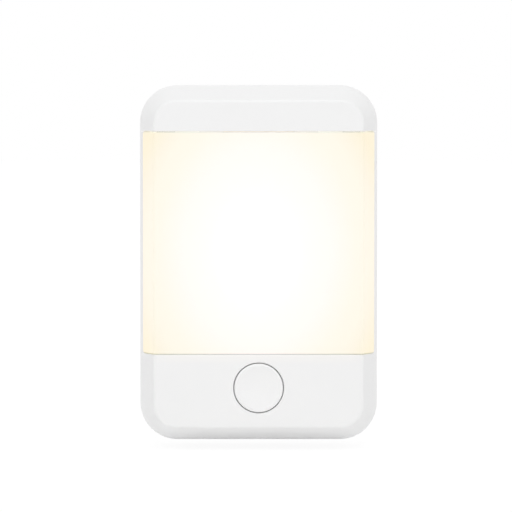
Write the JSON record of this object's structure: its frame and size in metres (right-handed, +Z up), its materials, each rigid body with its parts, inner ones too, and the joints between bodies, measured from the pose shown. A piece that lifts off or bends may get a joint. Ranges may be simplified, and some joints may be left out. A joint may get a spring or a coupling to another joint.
{
  "type": "plug in night light",
  "caption": "Upright plug-in LED night light with a bevelled housing, a flush wrap-around opal diffuser, a dished push-button and a round-pin plug",
  "frame": {"origin": "middle of the plug's end face, halfway between the two pins", "axes": "+Y out of the back along the plug pins, +Z up along the long side of the housing, +X to the right as seen from the front; the front faces -Y"},
  "size_m": [0.06, 0.0624, 0.0896],
  "materials": {
    "white_housing": "satin moulded",
    "white_cap": "satin moulded",
    "opal": "opal, lit from behind",
    "reflector_white": "matt white",
    "board_white": "white solder mask",
    "board_green": "green solder mask",
    "led_package": "phosphor yellow",
    "black_resin": "moulded",
    "grey_resin": "moulded",
    "yellow_box": "moulded",
    "can_sleeve": "shrink sleeve",
    "blue_coat": "dipped epoxy",
    "green_coat": "dipped",
    "pin_metal": "nickel-plated",
    "contact_brass": "bright",
    "screw_steel": "zinc-plated",
    "spring_steel": "drawn",
    "wire_brown": "pvc",
    "wire_blue": "pvc",
    "wire_red": "pvc",
    "wire_black": "pvc"
  },
  "bodies": {
    "housing": {"front_cover": "white_housing", "back_cover": "white_housing", "diffuser": "opal", "reflector": "reflector_white", "reflector_screws": "screw_steel", "led_board": "board_white", "leds": "led_package", "power_board": "board_green", "board_screws": "screw_steel", "dropper_capacitor": "yellow_box", "smoothing_capacitor": "can_sleeve", "bridge_rectifier": "black_resin", "fuse_resistor": "green_coat", "varistor": "blue_coat", "chip_resistors": "black_resin", "switch_body": "black_resin", "switch_base": "grey_resin", "switch_spring": "spring_steel", "switch_terminals": "contact_brass", "pin_retainer": "grey_resin", "retainer_screw": "screw_steel", "live_pin": "pin_metal", "neutral_pin": "pin_metal", "pin_sleeves": "black_resin", "live_lead": "wire_brown", "neutral_lead": "wire_blue", "led_wire_positive": "wire_red", "led_wire_negative": "wire_black", "housing_screws": "screw_steel"},
    "button": {"button_cap": "white_cap"},
    "plunger": {"switch_plunger": "white_cap", "switch_contact": "contact_brass"}
  },
  "joints": [
    {"name": "button_press", "type": "slide", "parent": "housing", "child": "button", "axis": [0, 1, 0], "range_m": [0, 0.0018], "stiffness_N_per_m": 600, "springref_m": -0.002},
    {"name": "plunger_press", "type": "slide", "parent": "housing", "child": "plunger", "axis": [0, 1, 0], "range_m": [0, 0.0018], "deforming": ["switch_spring"]}
  ],
  "couplings": [
    {"joint": "plunger_press", "follows": "button_press", "ratio": 1}
  ]
}
